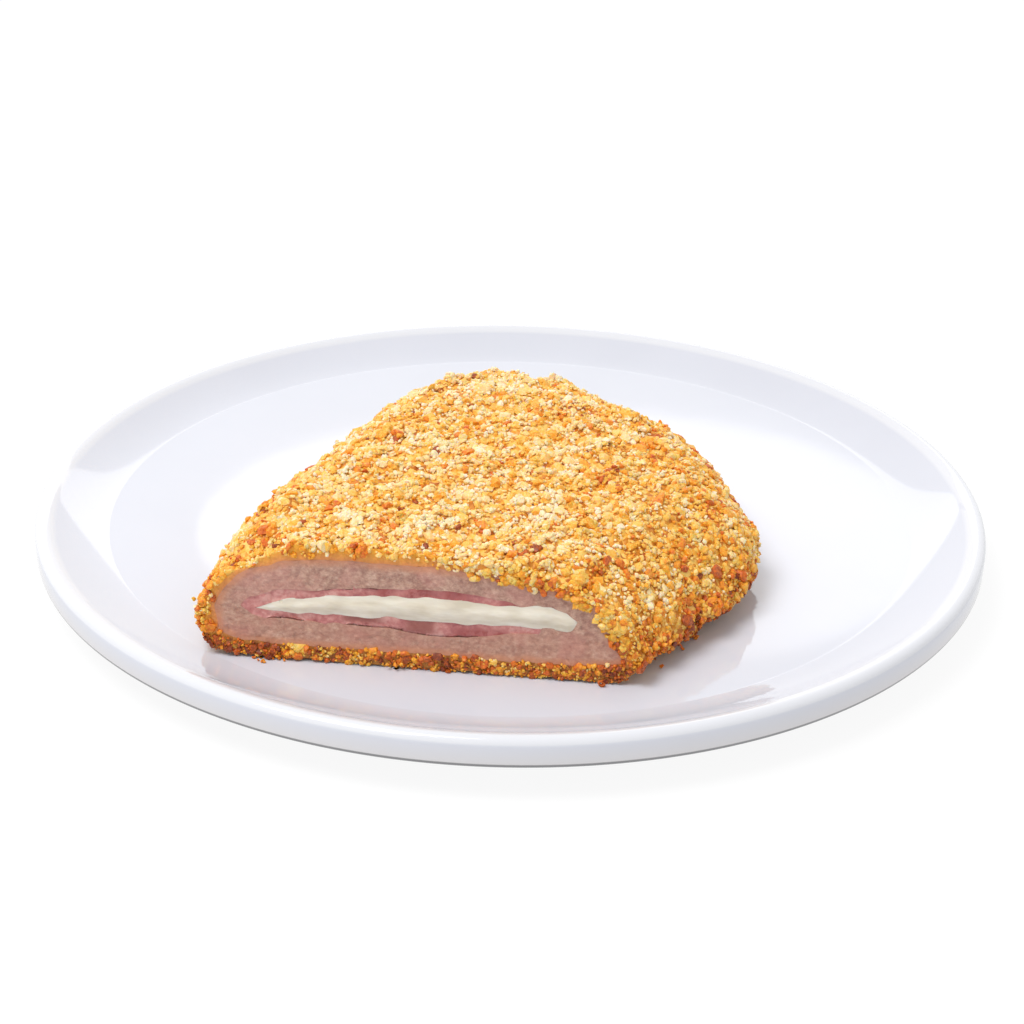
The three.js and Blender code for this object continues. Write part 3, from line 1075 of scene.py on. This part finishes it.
scatter("crumbs_fine", 9500, 0.5 * MM, 1.0 * MM, -0.08, 0.14, flat=0.9, sunk=0.1)
scatter("crumbs_small", 9500, 0.85 * MM, 1.5 * MM, -0.06, 0.14, flat=0.85, sunk=0.2)
scatter("crumbs_medium", 2400, 1.3 * MM, 2.1 * MM, 0.03, 0.13, level=2, flat=0.8, sunk=0.28)
scatter("crumbs_large", 1300, 1.9 * MM, 3.3 * MM, 0.14, 0.1, level=2, chips=6, flat=0.65, sunk=0.28)

# %% [markdown]
# ## Piles of crumbs
# Crumbs stick together in little piles, which make the crust craggy. A pile has a middle on the coat.
# Its crumbs lie round it, and the nearer they are to the middle, the higher they stand.

# %% Piles
PILES = 240
PILE_CRUMBS = 9
PILE_HEIGHT = 1.0 * MM

pile_places, pile_ways = spread(PILES)
count = PILES * PILE_CRUMBS
places, ways = (np.repeat(values, PILE_CRUMBS, axis=0) for values in (pile_places, pile_ways))
offsets = rng.normal(size=(count, 3))
offsets -= (offsets * ways).sum(1)[:, None] * ways
offsets /= np.linalg.norm(offsets, axis=1)[:, None]
share = np.sqrt(rng.random(count))
reach = np.repeat(rng.uniform(1.2 * MM, 2.4 * MM, PILES), PILE_CRUMBS)
heights = PILE_HEIGHT * rng.random(count) * (1 - share**2)
places = places + offsets * (share * reach)[:, None] + ways * heights[:, None]
pile_toast = np.repeat(rng.normal(-0.05, 0.12, PILES), PILE_CRUMBS)
toast = toasting(places) + pile_toast + rng.normal(0, 0.07, count)
sizes = sizes_of(places, 0.8 * MM, 1.6 * MM)
crumbs("crumbs_piled", places, ways, sizes, toast, level=2, flat=0.85, sunk=0.25)

# %% [markdown]
# ## Crumbs over the edge of the cut
# Where the knife left the crust, at the upper right, it pressed crumbs down over the edge of the meat.
# They start on the coat's band there and are moved inwards along the cut, onto the meat.

# %% Overhanging crumbs
OVERHANG = 190
OVERHANG_REACH = 2.6 * MM
MEAT_MIDDLE = (46 * MM, 11 * MM)

over_band = steps(run, 52 * MM, 66 * MM) * steps(rise, 6 * MM, 9 * MM) * (1 - steps(depths, 0.6, 1.6))
places, ways = spread(OVERHANG, areas * over_band * (kinds == CUT_FACE))
to_middle = []
for place in places:
    along, height = on_section(Vector(place))
    inwards = (MEAT_MIDDLE[0] - along) * along_cut + (MEAT_MIDDLE[1] - height) * upright
    to_middle.append(inwards.normalized())
places = places + np.array(to_middle) * (OVERHANG_REACH * rng.random(OVERHANG) ** 1.5)[:, None]
toast = toasting(places) + 0.12 + rng.normal(0, 0.12, OVERHANG)
sizes = sizes_of(places, 0.8 * MM, 2.0 * MM)
crumbs("crumbs_overhanging", places, ways, sizes, toast, level=2, sunk=0.15)

# %% [markdown]
# ## Singed crumbs and crumbs on the plate
# A few crumbs have caught more heat and are red brown. Some are scattered, and the ones that the eye
# finds first have their own place: it is given in plan, and a ray from above finds the coat there.
# Other crumbs have fallen off and lie on the plate beside the right end of the cut.

# %% Singed and fallen
SINGED = (
    (2.3, -66.7, 4.2), (4.7, -65.6, 3.4), (0.6, -65.2, 2.4), (16.1, -52.2, 3), (15.2, -50.6, 2.2),
    (9, -0.7, 3.2), (-21.3, -0.9, 2.6), (4, -10.8, 3), (-13.3, -55.8, 2.4), (-10.4, -58.2, 2.6),
    (-22.2, -49.9, 2.2), (22.4, -29.9, 2.6), (-16, -24.3, 2.4), (-9.4, 17.7, 2.8), (43.3, -26, 2.6),
    (37.5, -26.6, 2.4), (25.8, -1, 2.6), (-50.4, -48.1, 3), (-41, -58, 2.6), (-27.6, -11, 2.4),
)
SCATTERED = 640
FALLEN = ((37.4, -56.4, 2.0), (38.3, -56.9, 1.2), (30.6, -68.9, 1.1), (35.2, -61.6, 0.8))
FALLEN_TOAST = 0.7
ABOVE = 0.1

coat_now = BVHTree.FromPolygons([Vector(p) for p in points], corners.tolist())
singed = [coat_now.ray_cast(Vector((x * MM, y * MM, ABOVE)), -upright) for x, y, _ in SINGED]
singed_places = np.array([hit[0] for hit in singed])
singed_ways = np.array([hit[1] for hit in singed])
random_places, random_ways = spread(SCATTERED)
random_toast = np.clip(toasting(random_places) + 0.42 + rng.normal(0, 0.1, SCATTERED), 0, 0.95)
toast = np.concatenate([random_toast, rng.uniform(0.8, 0.95, len(SINGED))])
singed_sizes = [size * MM for _, _, size in SINGED]
sizes = np.concatenate([sizes_of(random_places, 0.9 * MM, 2.4 * MM), singed_sizes])
places = np.concatenate([random_places, singed_places])
ways = np.concatenate([random_ways, singed_ways])
crumbs("crumbs_toasted", places, ways, sizes, toast, level=2, chips=6, flat=0.5)

fallen_places = np.array([(x * MM, y * MM, WELL_TOP) for x, y, _ in FALLEN])
fallen_sizes = np.array([size * MM for _, _, size in FALLEN])
fallen_ways = np.tile([0.0, 0.0, 1.0], (len(FALLEN), 1))
fallen_toast = np.full(len(FALLEN), FALLEN_TOAST)
crumbs("crumbs_fallen", fallen_places, fallen_ways, fallen_sizes, fallen_toast, level=2, sunk=0.05)

# %% [markdown]
# ## Curled shavings
# Two thin shavings of crust lie by the right end of the cut, curled up by the heat. Each is given as
# its place in plan, its curl's radius, its width, its turn and its heading. It is a short edge, spun
# round an axis by that turn, which then gets its thickness.

# %% Shavings
SHAVINGS = (((33.2, -65.2), 1.9, 0.8, -150, 105), ((18.4, -77.0), 0.75, 0.5, 290, 85))
SHAVING_STEPS = 12
SHAVING_THICK = 0.4 * MM
SHAVING_UNEVEN = 0.25 * MM
SHAVING_TOAST = 0.8

bm = bmesh.new()
for (x, y), radius, width, turn, heading in SHAVINGS:
    middle = Vector((x * MM, y * MM, WELL_TOP + radius * MM + 0.1 * MM))
    axis = Vector((cos(radians(heading)), sin(radians(heading)), 0))
    start = middle + axis.cross(upright) * radius * MM
    ends = [bm.verts.new(start + side * width / 2 * MM * axis) for side in (-1, 1)]
    strip = [*ends, bm.edges.new(ends)]
    turned = {"cent": middle, "axis": axis, "angle": radians(turn), "steps": SHAVING_STEPS}
    bmesh.ops.spin(bm, geom=strip, use_merge=False, **turned)
bmesh.ops.recalc_face_normals(bm, faces=bm.faces)
bmesh.ops.solidify(bm, geom=list(bm.faces), thickness=SHAVING_THICK)
for vertex in bm.verts:
    vertex.co += SHAVING_UNEVEN * Vector([cloud(vertex.co, 1 * MM, seed) for seed in (31, 32, 33)])
    vertex.co.z = max(vertex.co.z, WELL_TOP + OVER_WELL)
bmesh.ops.recalc_face_normals(bm, faces=bm.faces)
toasted = bm.verts.layers.float.new("toast")
for vertex in bm.verts:
    vertex[toasted] = SHAVING_TOAST
piece("shavings", bm, crumb_paint)

# %% [markdown]
# ## The model's size
# The boxes of the frame and of the dressed model are both printed, side by side. The dressed
# model has to stay the size of the frame.

# %% Sizes
boxes = {"cad": cad_box, "visual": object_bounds()}
for name, box in boxes.items():
    print(name, [round((high - low) / MM, 1) for low, high in zip(*box)], "mm")
